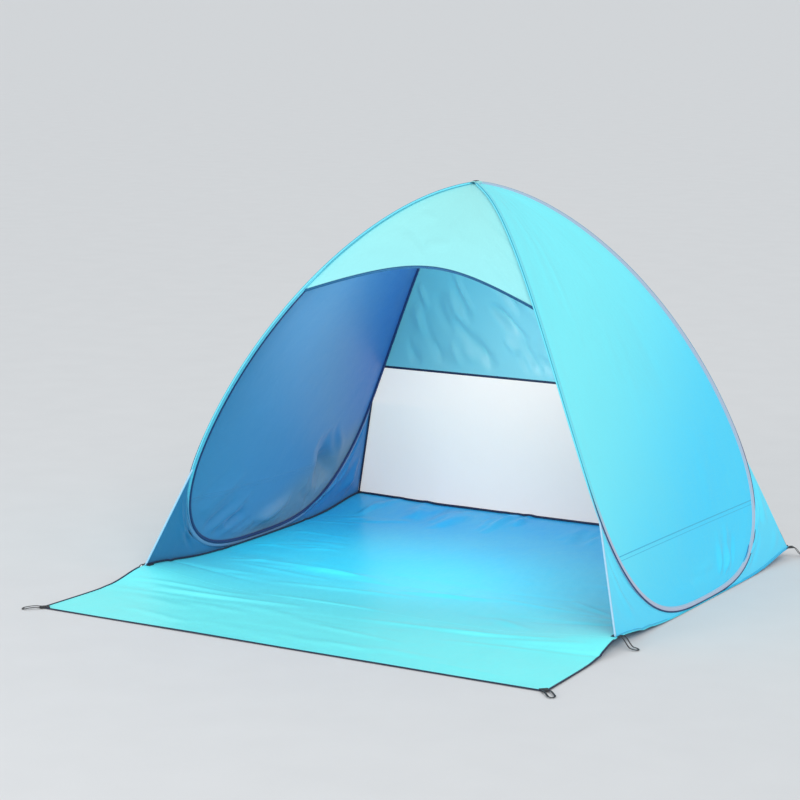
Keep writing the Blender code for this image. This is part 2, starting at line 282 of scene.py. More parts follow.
FLOOR_CREASES = (
    scattered(3, 28, (0.0, Y_FRONT + 0.10), (0.65, 0.30), 3, 9, 0.60, 0.013, 0.0056)
    + scattered(4, 22, (-0.60, 0.15), (0.12, 0.45), 12, 14, 0.28, 0.010, 0.0038)
    + scattered(5, 18, (0.55, 0.20), (0.16, 0.50), -14, 16, 0.30, 0.012, 0.0036)
    + scattered(6, 16, (-0.38, Y_REAR - 0.10), (0.28, 0.05), 84, 12, 0.22, 0.014, 0.0105)
    + scattered(7, 10, (0.35, Y_REAR - 0.12), (0.30, 0.05), 96, 12, 0.22, 0.014, 0.0046)
    + scattered(8, 14, (0.0, Y_PORCH + 0.16), (0.62, 0.13), -2, 12, 0.50, 0.018, 0.0036)
)


def ground_cloth(x, y):
    """Height of the floor and apron cloth, with its corners and rear edge pulled up."""
    side = smooth((np.abs(x) - LIFT_FROM_X) / (FLOOR_HALF - LIFT_FROM_X))
    width = np.where(y < Y_FRONT, LIFT_AHEAD_OF_DOOR, LIFT_BEHIND_DOOR)
    front = hump(y - Y_FRONT, width) * side
    rear = hump(y - Y_REAR, LIFT_AT_REAR) * (0.75 + 0.25 * side)
    lift = FLOOR_LIFT * (front + rear)
    folds = creases(x, y, FLOOR_CREASES)
    low = 0.0012 + 0.0006 * (1 + np.sin(9 * x + 3 * y) * np.sin(7 * y - 2 * x))
    return low + lift + np.maximum(folds, -0.0008 - 0.3 * lift)


# ------ materials

def set_inputs(tree, made, values):
    """Link or set each of a node's inputs."""
    for key, value in values.items():
        if isinstance(value, bpy.types.NodeSocket):
            tree.links.new(value, made.inputs[key])
        else:
            made.inputs[key].default_value = value


def node(tree, kind, values=None, **settings):
    made = tree.nodes.new(kind)
    for key, value in settings.items():
        setattr(made, key, value)
    set_inputs(tree, made, values or {})
    return made


def mix_colour(tree, factor, first, second):
    """A blend from the first colour to the second, by the factor."""
    first, second = ((*c, 1.0) if isinstance(c, tuple) else c for c in (first, second))
    made = node(tree, "ShaderNodeMix", {0: factor}, data_type="RGBA")
    set_inputs(tree, made, {6: first, 7: second})
    return made.outputs[2]


def math_node(tree, operation, first, second=0.0):
    made = node(tree, "ShaderNodeMath", {0: first, 1: second}, operation=operation)
    return made.outputs[0]


def ranged(tree, value, low, high):
    """An eased step from 0 to 1 as the value goes from low to high."""
    made = node(tree, "ShaderNodeMapRange", {"Value": value, "From Min": low, "From Max": high},
                interpolation_type="SMOOTHSTEP")
    return made.outputs["Result"]


def remapped(tree, value, low, high, start=0.0, end=1.0):
    """A value from start to end, made to run from low to high."""
    made = node(tree, "ShaderNodeMapRange", {"Value": value, "From Min": start, "From Max": end,
                                             "To Min": low, "To Max": high})
    return made.outputs["Result"]


def bump(tree, height, strength, distance, values=None):
    made = node(tree, "ShaderNodeBump", {"Height": height, "Strength": strength,
                                         "Distance": distance, **(values or {})})
    return made.outputs["Normal"]


def stretched_noise(tree, vector, scale, detail=2.0):
    mapped = node(tree, "ShaderNodeMapping", {"Vector": vector, "Scale": scale})
    noise = node(tree, "ShaderNodeTexNoise",
                 {"Vector": mapped.outputs["Vector"], "Scale": 1.0, "Detail": detail})
    return noise.outputs["Fac"]


def new_material(name):
    material = bpy.data.materials.new(name)
    material.use_nodes = True
    tree = material.node_tree
    return material, tree, tree.nodes["Principled BSDF"]


def along_axis(tree, axis):
    """How far a point of the surface lies along an axis of the model's frame."""
    place = node(tree, "ShaderNodeTexCoord").outputs["Object"]
    made = node(tree, "ShaderNodeVectorMath", {0: place, 1: axis}, operation="DOT_PRODUCT")
    return made.outputs["Value"]


def taffeta(name, near, far, axis, start, end, rough, sheen, extra=None):
    """Coated polyester taffeta: two crossing sets of fine threads, soft creasing and
    a colour that drifts from near to far along an axis, and to an extra shade. Where
    the drift and the extra shade follow how light falls, they are painted light and
    shade; the cloudy and thread mottling is the cloth's own."""
    material, tree, shader = new_material(name)
    flat = node(tree, "ShaderNodeTexCoord").outputs["UV"]
    # Drift from near to far along an axis: painted light and shade in most cloths, as the CLOTHS
    # rows say
    colour = mix_colour(tree, ranged(tree, along_axis(tree, axis), start, end), near, far)
    # Extra shade: painted shade on the floor; on the blue inner cloth, a greyer patch low at the
    # rear
    if extra:
        shade, (axis_2, start_2, end_2) = extra
        amount = ranged(tree, along_axis(tree, axis_2), start_2, end_2)
        colour = mix_colour(tree, amount, colour, shade)
    warp = stretched_noise(tree, flat, (620.0, 26.0, 1.0))
    weft = stretched_noise(tree, flat, (30.0, 700.0, 1.0))
    threads = math_node(tree, "MULTIPLY", math_node(tree, "ADD", warp, weft), 0.5)
    cloudy = stretched_noise(tree, flat, (3.1, 2.3, 1.0), 3.0)
    dark = tuple(c * 0.80 for c in near)
    for tone, low, high, most in ((cloudy, 0.62, 0.30, 0.16), (threads, 0.56, 0.40, 0.10)):
        amount = math_node(tree, "MULTIPLY", ranged(tree, tone, low, high), most)
        colour = mix_colour(tree, amount, colour, dark)
    crumple = stretched_noise(tree, flat, (17.0, 11.0, 1.0), 4.0)
    soft = bump(tree, crumple, 0.22, 0.010)
    set_inputs(tree, shader, {
        "Base Color": colour,
        "Roughness": remapped(tree, threads, rough - 0.07, rough + 0.07, 0.3, 0.7),
        "Normal": bump(tree, threads, 0.18, 0.0006, {"Normal": soft}),
        "Sheen Weight": sheen, "Sheen Roughness": 0.45, "Specular IOR Level": 0.35})
    return material


def stitched_tape(name, colour, thread, rough, stitch_at=(0.25, 0.75), extra=(), sheen=0.06):
    """Woven edging tape: fine cross ribs and rows of lockstitches. The tape's UVs run in
    metres along it, and from 0 to 1 round it. Extra rows change the colour in places."""
    material, tree, shader = new_material(name)
    flat = node(tree, "ShaderNodeTexCoord").outputs["UV"]
    parts = node(tree, "ShaderNodeSeparateXYZ", {"Vector": flat}).outputs
    ribs = node(tree, "ShaderNodeTexWave", {"Vector": flat, "Scale": 95.0, "Distortion": 1.2},
                bands_direction="X").outputs["Fac"]
    base = mix_colour(tree, ribs, tuple(c * 0.82 for c in colour), colour)
    # Extra colours: on the sleeve they go with its painted shade; on the hoop seam they give a
    # darker lower stretch
    for other, (axis, start, end) in extra:
        amount = ranged(tree, along_axis(tree, axis), start, end)
        base = mix_colour(tree, amount, base, mix_colour(
            tree, ribs, tuple(c * 0.86 for c in other), other))
    turn = math_node(tree, "FRACT", math_node(tree, "MULTIPLY", parts["X"], 260.0))
    dash = math_node(tree, "LESS_THAN", turn, 0.64)
    rows = 0.0
    for place in stitch_at:
        away = math_node(tree, "ABSOLUTE", math_node(tree, "SUBTRACT", parts["Y"], place))
        rows = math_node(tree, "ADD", math_node(tree, "LESS_THAN", away, 0.022), rows)
    stitches = math_node(tree, "MULTIPLY", dash, rows)
    height = math_node(tree, "ADD", math_node(tree, "MULTIPLY", ribs, 0.5), stitches)
    set_inputs(tree, shader, {
        "Base Color": mix_colour(tree, stitches, base, thread),
        "Roughness": remapped(tree, ribs, rough + 0.08, rough - 0.08),
        "Normal": bump(tree, height, 0.5, 0.0004),
        "Sheen Weight": sheen, "Sheen Roughness": 0.5, "Specular IOR Level": 0.3})
    return material


def webbing(name, colour):
    """Polypropylene webbing: close diagonal ribs with a slight gloss."""
    material, tree, shader = new_material(name)
    flat = node(tree, "ShaderNodeTexCoord").outputs["UV"]
    turned = node(tree, "ShaderNodeMapping", {"Vector": flat, "Scale": (1.0, 0.012, 1.0),
                                             "Rotation": (0, 0, 0.35)}).outputs["Vector"]
    ribs = node(tree, "ShaderNodeTexWave", {"Vector": turned, "Scale": 150.0, "Distortion": 0.6},
                bands_direction="X").outputs["Fac"]
    set_inputs(tree, shader, {
        "Base Color": mix_colour(tree, ribs, tuple(c * 0.45 for c in colour), colour),
        "Roughness": remapped(tree, ribs, 0.62, 0.36),
        "Normal": bump(tree, ribs, 0.7, 0.0005)})
    return material


def steel(name):
    """Drawn spring wire: fine lengthwise marks on a dull metal."""
    material, tree, shader = new_material(name)
    place = node(tree, "ShaderNodeTexCoord").outputs["Object"]
    marks = stretched_noise(tree, place, (900.0, 900.0, 30.0), 3.0)
    set_inputs(tree, shader, {
        "Base Color": mix_colour(tree, marks, (0.38, 0.39, 0.41), (0.62, 0.63, 0.65)),
        "Roughness": remapped(tree, marks, 0.22, 0.42),
        "Metallic": 1.0})
    return material


# Cloths: near and far colours, axis and range of the drift between them, roughness, sheen
CLOTHS = {
    # Outer side cloth: lighter at the top front and darker low at the rear, painted light and
    # shade
    "cyan": ("cyan_cloth_outside", (0.19, 0.90, 0.99), (0.050, 0.66, 0.99),
             (0.0, 0.6, -1.0), -0.75, 0.05, 0.50, 0.10),
    # Inner side cloth: the cyan cloth seen from inside, painted darker blue as shade, and darker
    # still towards the upper rear (painted shade); the extra turns it greyer low at the rear
    "blue": ("blue_cloth_inside_painted_shade", (0.065, 0.245, 0.46), (0.010, 0.16, 0.50),
             (0.0, 1.0, 0.8), 0.68, 1.10, 0.42, 0.15,
             ((0.15, 0.26, 0.36), ((0.0, 1.0, -2.2), -0.12, 0.20))),
    "aqua": ("aqua_cloth_outside", (0.31, 0.76, 0.76), (0.27, 0.73, 0.80),
             (0.0, 0.3, -1.0), -1.1, -0.7, 0.52, 0.12),
    # Inner face of the brow and rear wall: the aqua cloth painted darker as shade, and darker
    # still towards the apex (painted shade)
    "teal": ("teal_cloth_inside_painted_shade", (0.25, 0.63, 0.69), (0.13, 0.49, 0.60),
             (0.5, 0.0, -1.0), -0.5, -1.0, 0.45, 0.20),
    # Outer corner cloth: darker towards the ground, painted shade
    "gusset": ("cyan_cloth_corner", (0.14, 0.79, 0.99), (0.08, 0.68, 0.97),
               (0.0, 0.0, -1.0), -0.3, 0.0, 0.50, 0.12),
    # Inner corner cloth: the cyan corner cloth painted dark blue as shade
    "gusset_blue": ("blue_cloth_corner_painted_shade", (0.032, 0.20, 0.40), (0.030, 0.23, 0.50),
                    (0.0, 1.0, 0.0), -0.3, 0.7, 0.45, 0.15),
    # Floor: pale aqua at the apron, deepening to dark blue towards the rear and rear left, painted
    # shade inside the tent
    "floor": ("floor_cloth_top", (0.20, 0.97, 0.97), (0.030, 0.72, 0.97),
              (-0.10, 1.0, 0.0), -0.62, 0.22, 0.36, 0.03,
              ((0.010, 0.40, 0.82), ((-0.10, 1.0, 0.0), 0.05, 0.85))),
    "under": ("floor_cloth_under", (0.09, 0.40, 0.62), (0.07, 0.34, 0.58),
              (0.0, 1.0, 0.0), -0.8, 0.8, 0.45, 0.10),
    "white": ("white_screen_outside", (0.86, 0.83, 0.80), (0.84, 0.81, 0.78),
              (1.0, 0.0, 0.0), -0.5, 0.5, 0.65, 0.10),
    # Inner face of the screen: darker towards +X, painted shade; CHANGED also gives it a painted
    # glow
    "white_in": ("white_screen_inside_painted_glow_and_shade", (0.84, 0.74, 0.67), (0.50, 0.47, 0.45),
                 (1.0, 0.0, 0.0), -0.5, 0.3, 0.65, 0.10),
}
# Tapes: colour, thread colour, roughness, places of the stitch rows, other colours
LILAC = (0.46, 0.54, 0.70)
TAPES = {
    "hoop_navy": ("hoop_piping_tape", (0.010, 0.032, 0.14), (0.04, 0.08, 0.22), 0.5),
    "navy": ("navy_tape", (0.010, 0.018, 0.055), (0.05, 0.08, 0.16), 0.55),
    "arch": ("arch_tape", (0.008, 0.095, 0.23), (0.03, 0.16, 0.32), 0.65),
    "edge_seam": ("hoop_seam_tape", (0.035, 0.38, 0.55), (0.03, 0.30, 0.46), 0.60, (0.4, 0.6),
                  [((0.012, 0.045, 0.15), ((0.0, 0.0, -1.0), -0.48, -0.30))]),
    "seam": ("seam_tape", (0.06, 0.54, 0.82), (0.04, 0.42, 0.66), 0.55),
    "hem": ("hem_tape", (0.42, 0.68, 0.88), (0.30, 0.54, 0.76), 0.52),
    # Sleeve: lilac low down, below about 0.4 m, which is painted shade, and lilac along the rear
    # branch
    "sleeve": ("sleeve_outside", (0.17, 0.82, 0.96), (0.12, 0.60, 0.80), 0.52, (0.12, 0.38),
               [(LILAC, ((0.0, 1.0, 0.0), 0.20, 0.26)),
                (LILAC, ((0.0, 0.0, -1.0), -0.40, -0.26))], 0.15),
    # Sleeve's inner face: the sleeve cloth painted darker as shade, left cyan at the upper front
    # by the door
    "sleeve_in": ("sleeve_inside", (0.20, 0.35, 0.56), (0.08, 0.19, 0.36), 0.52, (0.62, 0.88),
                  [((0.16, 0.68, 0.84), ((0.0, -1.0, 1.0), 0.32, 0.55))]),
}
# The screen's inner face gets a painted glow that stands for daylight from behind it, and the
# floor cloth is duller
CHANGED = {
    "white_in": {"Emission Color": (1.0, 0.92, 0.86, 1.0), "Emission Strength": 0.30},
    "floor": {"Specular IOR Level": 0.2},
}


def make_materials():
    made = {key: taffeta(*row) for key, row in CLOTHS.items()}
    made |= {key: stitched_tape(*row) for key, row in TAPES.items()}
    made["webbing"] = webbing("black_webbing_weave", (0.022, 0.022, 0.026))
    made["thread"] = webbing("dark_thread", (0.06, 0.06, 0.07))
    made["steel"] = steel("spring_steel_wire")
    for key, values in CHANGED.items():
        tree = made[key].node_tree
        set_inputs(tree, tree.nodes["Principled BSDF"], values)
    return made


MATERIAL = make_materials()


# ------ building meshes

def new_object(name, data):
    made = bpy.data.objects.new(name, data)
    bpy.context.scene.collection.objects.link(made)
    return made


def finished_mesh(name, verts, faces, uvs, slots, materials, sharp):
    """One object from arrays, with UVs per vertex, smooth faces and sharp rims."""
    mesh = bpy.data.meshes.new(name)
    mesh.from_pydata(verts.tolist(), [], faces)
    for material in materials:
        mesh.materials.append(material)
    mesh.polygons.foreach_set("material_index", slots)
    mesh.polygons.foreach_set("use_smooth", [True] * len(faces))
    layer = mesh.uv_layers.new(name="cloth")
    corners = np.zeros(len(mesh.loops), int)
    mesh.loops.foreach_get("vertex_index", corners)
    layer.data.foreach_set("uv", uvs[corners].astype(np.float32).ravel())
    if sharp:
        ends = np.zeros(len(mesh.edges) * 2, int)
        mesh.edges.foreach_get("vertices", ends)
        ends = np.sort(ends.reshape(-1, 2), axis=1)
        wanted = {tuple(sorted(pair)) for pair in sharp}
        mesh.edges.foreach_set("use_edge_sharp", [tuple(pair) in wanted for pair in ends.tolist()])
    mesh.update()
    return new_object(name, mesh)


def grid_normals(grid, outward):
    """Unit normals of a grid of points, on the side that outward points to."""
    normal = unit(np.cross(np.gradient(grid, axis=0), np.gradient(grid, axis=1)))
    middle = normal[grid.shape[0] // 2, grid.shape[1] // 2]
    return normal if np.dot(middle, outward) > 0 else -normal


def cloth_sheet(name, grid, outward, outside, inside, folds=None):
    """A closed thin sheet round a grid of middle points, outer face first. Its cut size
    is worked out, but nothing keeps it."""
    grid = np.asarray(grid, float)
    normal = grid_normals(grid, outward)
    if folds is not None:
        grid = grid + normal * folds[..., None]
        normal = grid_normals(grid, outward)
    rows, cols = grid.shape[:2]
    half = rows * cols
    verts = np.vstack([(grid + normal * CLOTH / 2).reshape(-1, 3),
                       (grid - normal * CLOTH / 2).reshape(-1, 3)])
    index = np.arange(half).reshape(rows, cols)
    quads = np.stack([index[:-1, :-1], index[:-1, 1:], index[1:, 1:], index[1:, :-1]],
                     axis=-1).reshape(-1, 4)
    row, col = rows // 2, cols // 2
    a, b, c = grid[row, col], grid[row, col + 1], grid[row + 1, col + 1]
    if np.dot(np.cross(b - a, c - a), normal[row, col]) < 0:
        quads = quads[:, ::-1]
    rim = np.concatenate([index[0], index[1:, -1], index[-1, -2::-1], index[-2:0:-1, 0]])
    after = np.roll(rim, -1)
    ordered = {pair for quad in quads.tolist() for pair in zip(quad, quad[1:] + quad[:1])}
    if (int(rim[0]), int(after[0])) in ordered:
        edge = np.stack([after, rim, rim + half, after + half], axis=-1)
    else:
        edge = np.stack([rim, after, after + half, rim + half], axis=-1)
    inner = quads[:, [0, 3, 2, 1]] + half  # splits along the same diagonal as the outer face
    faces = quads.tolist() + inner.tolist() + edge.tolist()
    across = np.linalg.norm(np.diff(grid, axis=1), axis=2).mean(0)
    down = np.linalg.norm(np.diff(grid, axis=0), axis=2).mean(1)
    u = np.concatenate([[0.0], np.cumsum(across)])
    v = np.concatenate([[0.0], np.cumsum(down)])
    flat = np.stack(np.meshgrid(u, v), axis=-1).reshape(-1, 2)
    slots = [0] * len(quads) + [1] * len(quads) + [0] * len(edge)
    sharp = list(zip(rim.tolist(), after.tolist()))
    sharp += [(p + half, q + half) for p, q in sharp]
    made = finished_mesh(name, verts, faces, np.vstack([flat, flat]), slots,
                         [MATERIAL[outside], MATERIAL[inside]], sharp)
    widths = np.linalg.norm(np.diff(grid, axis=1), axis=2).sum(1)
    heights = np.linalg.norm(np.diff(grid, axis=0), axis=2).sum(0)
    corner = np.cross(grid[1:, 1:] - grid[:-1, :-1], grid[1:, :-1] - grid[:-1, 1:])
    area = float(np.linalg.norm(corner, axis=2).sum() / 2)
    cut = [round(float(widths.max()), 3), round(float(heights.max()), 3)]
    if area < 0.5 * cut[0] * cut[1]:
        cut[1] = round(area / (0.5 * cut[0]), 3)
    return made


def swept(name, path, across, up, profile, material, inner=None, closed=False):
    """A profile of (across, up) pairs carried along a path, with tape UVs. A closed path
    joins its own start. With an inner material, the profile's lower half takes it."""
    path, across, up = (np.asarray(a, float) for a in (path, across, up))
    profile = np.asarray(profile, float)
    if profile.ndim == 2:
        profile = np.broadcast_to(profile, (len(path), *profile.shape))
    verts = (path[:, None] + across[:, None] * profile[..., :1] + up[:, None] * profile[..., 1:])
    count, around = verts.shape[:2]
    last = count if closed else count - 1
    faces = []
    for i in range(last):
        n = (i + 1) % count
        for j in range(around):
            m = (j + 1) % around
            faces.append((i * around + j, n * around + j, n * around + m, i * around + m))
    if not closed:
        faces.append(tuple(range(around)))
        faces.append(tuple((count - 1) * around + j for j in range(around - 1, -1, -1)))
    first = verts[0]
    turn = sum(np.cross(first[j] - path[0], first[(j + 1) % around] - path[0])
               for j in range(around))
    if np.dot(turn, path[1] - path[0]) > 0:
        faces = [tuple(reversed(face)) for face in faces]
    along = lengths_along(path)
    u = np.repeat(along, around)
    v = np.tile(np.arange(around) / around, count)
    slots = [0] * len(faces)
    if inner:
        below = [profile[0, j, 1] + profile[0, (j + 1) % around, 1] < 0 for j in range(around)]
        slots[:last * around] = [int(below[k % around]) for k in range(last * around)]
    made = finished_mesh(name, verts.reshape(-1, 3), faces, np.column_stack([u, v]),
                         slots, [MATERIAL[key] for key in (material, inner) if key], None)
    return made


def oval(wide, tall, count=8):
    """An oval profile, from its half width and half height."""
    angles = np.linspace(0, 2 * math.pi, count, endpoint=False)
    return np.column_stack([wide * np.cos(angles), tall * np.sin(angles)])


def frame_towards(path, target, closed=False):
    """Directions across the path towards a target, and square to both."""
    path = np.asarray(path, float)
    if closed:
        tangent = unit(np.roll(path, -1, axis=0) - np.roll(path, 1, axis=0))
    else:
        tangent = unit(np.gradient(path, axis=0))
    side = np.broadcast_to(np.asarray(target, float), path.shape) - path
    side = side - (side * tangent).sum(1, keepdims=True) * tangent
    side = unit(side)
    return side, np.cross(tangent, side)


def bend_with_side(piece, reach):
    """Bakes the piece's transform and works out each point's share of the reach, which
    gives the distance from the middle plane to the hoop at each point's height. Nothing
    moves the points."""
    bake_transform(piece)
    points = np.zeros(len(piece.data.vertices) * 3)
    piece.data.vertices.foreach_get("co", points)
    points = points.reshape(-1, 3)
    share = np.abs(points[:, 0]) / np.maximum(reach(points[:, 2]), 1e-6)


def constant_reach(width):
    """A reach that is the same at every height."""
    return lambda heights: np.full_like(heights, width)


def gather_with_fold(piece):
    """Gives the piece its own copy of its mesh."""
    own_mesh(piece)


# ------ side cloth

def side_point(share, across):
    """The ruled surface inside the right hoop, from its front branch to its rear."""
    front, rear = at_share("front", share), at_share("rear", share)
    return front + (rear - front) * np.asarray(across)[..., None]


def hoop_distance(points):
    """Distance of each point from the nearest point of the right hoop."""
    nearest = np.full(points.shape[:-1], 9.0)
    for spot in HOOP:
        nearest = np.minimum(nearest, ((points - spot) ** 2).sum(-1))
    return np.sqrt(nearest)


def side_grid(start, end, sign):
    """Points of a side panel between two shares of the hoop, with each one's place."""
    rows = int((end - start) * BRANCH_LENGTH / GRID)
    cols = int(0.9 / GRID)
    across, share = np.meshgrid(np.linspace(0.0, 1.0, cols), np.linspace(start, end, rows))
    return mirrored(side_point(share, across), sign), share, across


def side_folds(share, across, label):
    """Sag, slack folds and a loose belly low down, in metres along the outer normal."""
    bowl = -0.010 * np.sin(math.pi * across) * np.sin(math.pi * share) ** 0.8
    up = 1 - share
    if label == "left":
        lines = scattered(22, 12, (0.83, 0.26), (0.09, 0.09), 150, 5, 0.20, 0.0145, 0.0160)
        lines += scattered(23, 24, (0.22, 0.18), (0.14, 0.11), 16, 4, 0.34, 0.011, 0.0090)
        lines += scattered(24, 10, (0.52, 0.12), (0.20, 0.04), 14, 14, 0.34, 0.015, 0.0120)
        lines += [((0.24, 0.05), (0.44, 0.17), 0.014, 0.0200)]
        lines += [((0.42, 0.18), (0.68, 0.22), 0.018, -0.0170)]
        bowl = bowl - 0.016 * hump(across - 0.48, 0.22) * hump(up - 0.13, 0.06)
    else:
        lines = scattered(21, 8, (0.5, 0.50), (0.35, 0.30), 60, 25, 0.5, 0.030, 0.0014)
        lines += scattered(25, 16, (0.60, 0.15), (0.32, 0.06), 8, 8, 0.36, 0.010, 0.0046)
        lines += scattered(26, 9, (0.77, 0.195), (0.10, 0.020), 104, 10, 0.11, 0.013, 0.0090)
        bowl = bowl + 0.005 * hump(across - 0.55, 0.3) * hump(up - 0.14, 0.05)
    away = hoop_distance(side_point(share, across)) - FOLDS_CLEAR_OF_HOOP
    grown = smooth(away / FOLDS_GROW_OVER)
    return bowl * grown + creases(across, up, lines) * grown


def make_side_cloth(label, sign):
    """The side panel, the lower panel under its seam, and the seam's two tapes."""
    seam = float(share_at("front", Z_SIDE_SEAM))
    outward = np.array([sign, 0.0, 0.6])
    spans = (("side_panel", SIDE_TOP_SHARE, seam), ("side_lower_panel", seam, SIDE_LOW_SHARE))
    for kind, start, end in spans:
        grid, share, across = side_grid(start, end, sign)
        folds = side_folds(share, across, label)
        piece = cloth_sheet(f"{label}_{kind}_cloth", grid, outward, "cyan", "blue",
                            folds)
        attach(piece, f"{label}_side")
        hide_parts(f"{label}_{kind}")
    across = np.linspace(0.012, 0.988, 120)
    for row, (below, half) in enumerate(((0.0, 0.0018), (0.0068, 0.0009))):
        share = np.full_like(across, seam + below)
        line = mirrored(side_point(share, across), sign)
        above = mirrored(side_point(share - 0.01, across), sign)
        tangent = unit(np.gradient(line, axis=0))
        up = unit(above - line)
        normal = unit(np.cross(tangent, up))
        normal *= np.sign((normal * outward).sum(1))[:, None]
        line = line + normal * side_folds(share, across, label)[:, None]
        tape = swept(f"{label}_side_seam_tape_{row}", line, up, normal,
                     oval(half, 0.0010), "seam", "blue")
        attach(tape, f"{label}_side")


def sleeve_frames(sign):
    """At each hoop point, the way into the side panel, and the way out of the tent."""
    count = len(HOOP)
    share = np.empty(count)
    share[:LOWEST + 1] = np.linspace(0, 1, LOWEST + 1)
    share[LOWEST:] = np.linspace(1, 0, count - LOWEST + 1)[:-1]
    target = side_point(np.clip(share, 0.07, 0.93), np.full(count, 0.5))
    path = mirrored(HOOP, sign)
    side, up = frame_towards(path, mirrored(target, sign), True)
    outward = np.array([sign, 0.0, 0.6])
    if np.median((up * outward).sum(1)) < 0:
        up = -up
    return path, side, up, share


def make_sleeve(label, sign):
    """The fabric sleeve round a hoop's wire, its piping inside and its seam outside."""
    path, side, up, share = sleeve_frames(sign)
    wide = SLEEVE_HALF_WIDE + SLEEVE_WIDER_BY * np.sin(math.pi * share)
    ring = oval(1.0, 1.0, 16)
    profile = np.stack([np.stack([ring[:, 0] * w - SLEEVE_OUTWARD,
                                  ring[:, 1] * SLEEVE_HALF_TALL], axis=1) for w in wide])
    sleeve = swept(f"{label}_sleeve_cloth", path, side, up, profile,
                   "sleeve", "sleeve_in", True)
    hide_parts(f"{label}_hoop_sleeve")
    piping = swept(f"{label}_hoop_piping", path + side * 0.0060 - up * 0.0030, side, up,
                   oval(0.0056, 0.0030), "hoop_navy", None, True)
    low = smooth((0.46 - path[:, 2]) / 0.16)
    thin = np.stack([oval(0.0013 + 0.0014 * share_low, 0.0016) for share_low in low])
    rim = path - side * (wide - 0.0004)[:, None] + up * 0.0024
    outer = swept(f"{label}_hoop_seam", rim, side, up, thin, "edge_seam",
                  None, True)
    for piece in (sleeve, piping, outer):
        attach(piece, f"{label}_side")
    for node_name in (f"{label}_hoop_wire", f"{label}_wire_ferrule"):
        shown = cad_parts[node_name]
        shown.data.materials.clear()
        shown.data.materials.append(MATERIAL["steel"])


# ------ corner pieces

def corner_point(branch, sign):
    """The floor corner under a gusset, for the right half."""
    y = GUSSET_CORNER_Y[branch]
    z = float(ground_cloth(np.array(sign * FLOOR_HALF), np.array(y))) + GAP
    return np.array([CORNER_X, y, z])


def free_edge(branch, sign, share):
    """The straight edge from the hoop down to the floor's corner."""
    top = at_height(branch, np.array(GUSSET_TOP[branch]))
    return top + (corner_point(branch, sign) - top) * np.asarray(share)[..., None]


def make_gusset(label, sign, branch):
    """The triangle of cloth between a hoop, its free edge and the floor's corner."""
    start = float(share_at(branch, GUSSET_TOP[branch]))
    share, across = share_grid(64, 52)
    free = free_edge(branch, sign, share)
    hoop = at_share(branch, start + (1 - start) * share ** 0.8)
    grid = free + (hoop - free) * across[..., None]
    ground = ground_cloth(sign * np.full_like(share, FLOOR_HALF), grid[..., 1]) + GAP
    grid[..., 2] += (ground - grid[..., 2]) * share ** 8
    grid[..., 0] += (CORNER_X - grid[..., 0]) * share ** 8
    grid = mirrored(grid, sign)
    seed = {"front": 41, "rear": 42}[branch] + (10 if sign > 0 else 0)
    tall = 0.0045 if branch == "front" else 0.0130
    lines = scattered(seed, 16, (0.45, 0.60), (0.35, 0.30), 62, 20, 0.5, 0.036, tall)
    folds = creases(across, share, lines) * smooth(across / 0.1) * smooth((0.95 - share) / 0.25)
    folds = folds * smooth(share / 0.1)
    piece = cloth_sheet(f"{label}_{branch}_gusset_cloth", grid, (sign, 0, 0.3),
                        "gusset", "gusset_blue", folds)
    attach(piece, f"{label}_side")
    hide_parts(f"{label}_{branch}_gusset")
    line = mirrored(free_edge(branch, sign, np.linspace(0.0, 0.995, 40)), sign)
    if branch == "rear":
        line = line + np.array([-sign * 0.0034, -0.0034, 0.0])
    side, up = frame_towards(line, np.array([sign * 3.0, line[:, 1].mean(), 0.2]))
    colour, finish = ("hem", "pale_binding") if branch == "front" else ("navy", "navy_binding")
    hem = swept(f"{label}_{branch}_edge_tape", line, side, up, oval(0.0028, 0.0034),
                colour)
    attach(hem, f"{label}_side")


def make_floor_piping(label, sign):
    """The seam between floor and side: a dark cord inside and a plain hem outside."""
    y = np.linspace(Y_FRONT + 0.004, Y_REAR - 0.003, 120)
    tuck = 0.008 * hump(y - HOOP[LOWEST, 1], 0.24)
    ground = ground_cloth(np.full_like(y, sign * FLOOR_HALF), y)
    inside = np.column_stack([sign * (FLOOR_HALF - 0.0100 - tuck), y, ground + 0.0036])
    outside = np.column_stack([sign * (CORNER_X + 0.0012 - tuck), y, ground + 0.0014])
    side, up = frame_towards(inside, (0.0, 0.2, 0.0))
    cord = swept(f"{label}_floor_piping_cord", inside, side, up, oval(0.0034, 0.0028),
                 "navy")
    hem = swept(f"{label}_floor_hem", outside, side, up, oval(0.0020, 0.0030),
                "seam")
    for piece in (cord, hem):
        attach(piece, f"{label}_side")
    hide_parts(f"{label}_floor_piping")


# ------ brow and rear wall

def hoop_reach(branch):
    """A reach that ends at the hoop's front or rear branch."""
    return lambda heights: at_height(branch, heights)[..., 0]


def canopy_half(branch, z_end, sign, columns):
    """Points between the middle plane and a hoop's branch, down to the heights z_end."""
    ends = z_end(np.linspace(0.0, 1.0, columns))
    low = np.array([float(share_at(branch, z)) for z in ends])
    top = 0.0015
    down, across = share_grid(int((low.max() - top) * BRANCH_LENGTH / GRID), columns)
    grid = at_share(branch, top + (low[None, :] - top) * down)
    grid[..., 0] *= across
    return mirrored(grid, sign), down, across


def arch_height(across):
    """Height of the doorway's top edge, highest in the middle."""
    return Z_ARCH_END + (Z_ARCH_MIDDLE - Z_ARCH_END) * (1 - across ** 2)


def brow_folds(down, across, sign):
    """Slack in the cloth above the doorway."""
    x = across * sign
    lines = scattered(61, 14, (0.0, 0.70), (0.9, 0.22), 20, 22, 0.8, 0.045, 0.0036)
    fade = smooth((1 - across) / 0.08) * smooth(down / 0.45)
    sag = -0.012 * np.sin(math.pi * down) * np.cos(math.pi * across / 2)
    return sag + creases(x, down, lines) * fade


